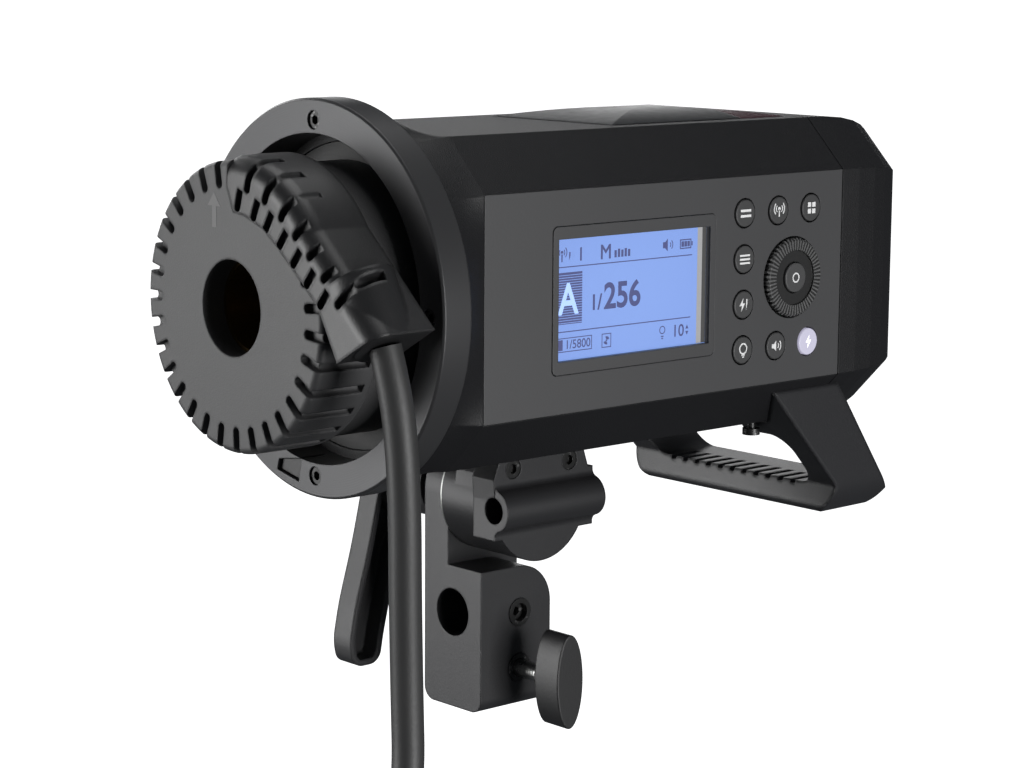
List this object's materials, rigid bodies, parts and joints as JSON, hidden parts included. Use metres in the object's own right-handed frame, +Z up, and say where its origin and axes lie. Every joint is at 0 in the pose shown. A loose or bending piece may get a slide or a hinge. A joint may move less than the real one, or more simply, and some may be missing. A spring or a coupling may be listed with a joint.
{
  "type": "monolight strobe",
  "caption": "Battery studio flash head with a side control panel, round accessory ring, tilting stand bracket and a plugged-in remote-head lead.",
  "frame": {"origin": "centre of the mouth of the vertical stand socket, on the block's bottom face", "axes": "+Z up the stand socket, -Y out of the lamp opening along the lamp axis, +X towards the control panel"},
  "size_m": [0.146, 0.3082, 0.3815],
  "materials": {
    "block_metal": "satin black anodised",
    "zinc_steel": "zinc plated",
    "screw_black": "black oxide",
    "pad_brass": "bright",
    "knob_black": "satin",
    "lever_black": "satin",
    "shell_black": "fine spark texture",
    "battery_black": "fine texture",
    "ring_metal": "satin anodised",
    "pin_black": "smooth",
    "socket_black": "moulded",
    "panel_grey": "satin charcoal",
    "window_clear": "clear",
    "screen_blue": "backlit",
    "mat_rubber": "matte",
    "board_green": "solder mask",
    "dial_black": "satin",
    "key_black": "soft satin",
    "key_lit": "translucent, backlit",
    "dome_black": "smooth",
    "receiver_red": "translucent dark red",
    "can_sleeve": "shrink sleeve",
    "sink_alloy": "extruded",
    "fan_black": "moulded",
    "coil_copper": "wound",
    "handle_black": "satin",
    "plug_grey": "satin fine grain",
    "liner_amber": "satin",
    "boot_rubber": "satin",
    "cord_rubber": "matte",
    "tie_strap": "hook and loop",
    "connector_black": "satin"
  },
  "bodies": {
    "stand": {"stand_block": "block_metal", "threaded_inserts": "screw_black", "socket_set_screw": "screw_black"},
    "pad": {"clamp_pad": "pad_brass"},
    "knob": {"clamp_knob": "knob_black", "clamp_screw": "zinc_steel"},
    "lever": {"lock_lever": "lever_black", "lever_screw": "screw_black", "tilt_axle": "zinc_steel"},
    "head": {"friction_washer": "zinc_steel", "tilt_bracket": "block_metal", "umbrella_holder": "block_metal", "bracket_screws": "screw_black", "main_shell": "shell_black", "rear_cap": "shell_black", "battery_contacts": "pad_brass", "flange_ring": "ring_metal", "flange_screws": "screw_black", "lamp_socket": "socket_black", "socket_contacts": "pad_brass", "control_panel": "panel_grey", "display_bezel": "panel_grey", "display_window": "window_clear", "lcd_module": "screen_blue", "keypad_mat": "mat_rubber", "control_board": "board_green", "dial_encoder": "socket_black", "receiver_dome": "dome_black", "receiver_window": "receiver_red", "capacitors": "can_sleeve", "capacitor_clamp": "socket_black", "main_board": "board_green", "heat_sink": "sink_alloy", "fan_frame": "fan_black", "trigger_transformer": "coil_copper", "rear_handle": "handle_black", "handle_screws": "screw_black"},
    "battery": {"battery_pack": "battery_black"},
    "latch": {"battery_latch": "battery_black"},
    "lock_pin": {"mount_lock_pin": "pin_black"},
    "dial": {"dial_ring": "dial_black"},
    "set_key": {"set_button": "key_black"},
    "fan": {"fan_rotor": "fan_black"},
    "plug": {"plug_body": "plug_grey", "plug_liner": "liner_amber", "plug_contacts": "pad_brass", "strain_relief_boot": "boot_rubber", "cable": "cord_rubber", "cable_tail": "cord_rubber", "cable_coil": "cord_rubber", "cable_tie": "tie_strap", "cable_connector": "connector_black"},
    "key_1_cap": {"key_1": "key_black"},
    "key_2_cap": {"key_2": "key_black"},
    "key_3_cap": {"key_3": "key_black"},
    "key_4_cap": {"key_4": "key_black"},
    "key_5_cap": {"key_5": "key_black"},
    "key_6_cap": {"key_6": "key_black"},
    "key_7_cap": {"key_7": "key_black"},
    "key_8_cap": {"key_8": "key_lit"}
  },
  "joints": [
    {"name": "head_tilt", "type": "hinge", "parent": "stand", "child": "head", "pos_m": [0, 0.001, 0.0725], "axis": [1, 0, 0], "range_deg": [-60, 75]},
    {"name": "lever_turn", "type": "hinge", "parent": "stand", "child": "lever", "pos_m": [0, 0.001, 0.0725], "axis": [1, 0, 0], "range_deg": [0, 60]},
    {"name": "clamp_advance", "type": "slide", "parent": "stand", "child": "pad", "axis": [1, 0, 0], "range_m": [0, 0.00376]},
    {"name": "knob_turn", "type": "hinge", "parent": "pad", "child": "knob", "pos_m": [0.03, 0.0016, 0.0135], "axis": [1, 0, 0], "range_deg": [0, 1080]},
    {"name": "battery_slide", "type": "slide", "parent": "head", "child": "battery", "axis": [0, 1, 0], "range_m": [0, 0.065]},
    {"name": "latch_press", "type": "slide", "parent": "battery", "child": "latch", "axis": [0, 0, 1], "range_m": [0, 0.0028], "stiffness_N_per_m": 400},
    {"name": "lock_pin_press", "type": "slide", "parent": "head", "child": "lock_pin", "axis": [0, 1, 0], "range_m": [0, 0.003], "stiffness_N_per_m": 400},
    {"name": "dial_turn", "type": "hinge", "parent": "head", "child": "dial", "pos_m": [0.0535, 0.0891, 0.1431], "axis": [1, 0, 0], "continuous": true},
    {"name": "set_press", "type": "slide", "parent": "head", "child": "set_key", "axis": [-1, 0, 0], "range_m": [0, 0.0008], "stiffness_N_per_m": 800},
    {"name": "fan_spin", "type": "hinge", "parent": "head", "child": "fan", "pos_m": [0.021, 0.0476, 0.156], "axis": [0, 1, 0], "continuous": true},
    {"name": "plug_pull", "type": "slide", "parent": "head", "child": "plug", "axis": [0, -1, 0], "range_m": [0, 0.05]},
    {"name": "key_1_press", "type": "slide", "parent": "head", "child": "key_1_cap", "axis": [-1, 0, 0], "range_m": [0, 0.0008], "stiffness_N_per_m": 800},
    {"name": "key_2_press", "type": "slide", "parent": "head", "child": "key_2_cap", "axis": [-1, 0, 0], "range_m": [0, 0.0008], "stiffness_N_per_m": 800},
    {"name": "key_3_press", "type": "slide", "parent": "head", "child": "key_3_cap", "axis": [-1, 0, 0], "range_m": [0, 0.0008], "stiffness_N_per_m": 800},
    {"name": "key_4_press", "type": "slide", "parent": "head", "child": "key_4_cap", "axis": [-1, 0, 0], "range_m": [0, 0.0008], "stiffness_N_per_m": 800},
    {"name": "key_5_press", "type": "slide", "parent": "head", "child": "key_5_cap", "axis": [-1, 0, 0], "range_m": [0, 0.0008], "stiffness_N_per_m": 800},
    {"name": "key_6_press", "type": "slide", "parent": "head", "child": "key_6_cap", "axis": [-1, 0, 0], "range_m": [0, 0.0008], "stiffness_N_per_m": 800},
    {"name": "key_7_press", "type": "slide", "parent": "head", "child": "key_7_cap", "axis": [-1, 0, 0], "range_m": [0, 0.0008], "stiffness_N_per_m": 800},
    {"name": "key_8_press", "type": "slide", "parent": "head", "child": "key_8_cap", "axis": [-1, 0, 0], "range_m": [0, 0.0008], "stiffness_N_per_m": 800}
  ],
  "couplings": [
    {"joint": "clamp_advance", "follows": "knob_turn", "m_per_rad": 0.00019894}
  ]
}
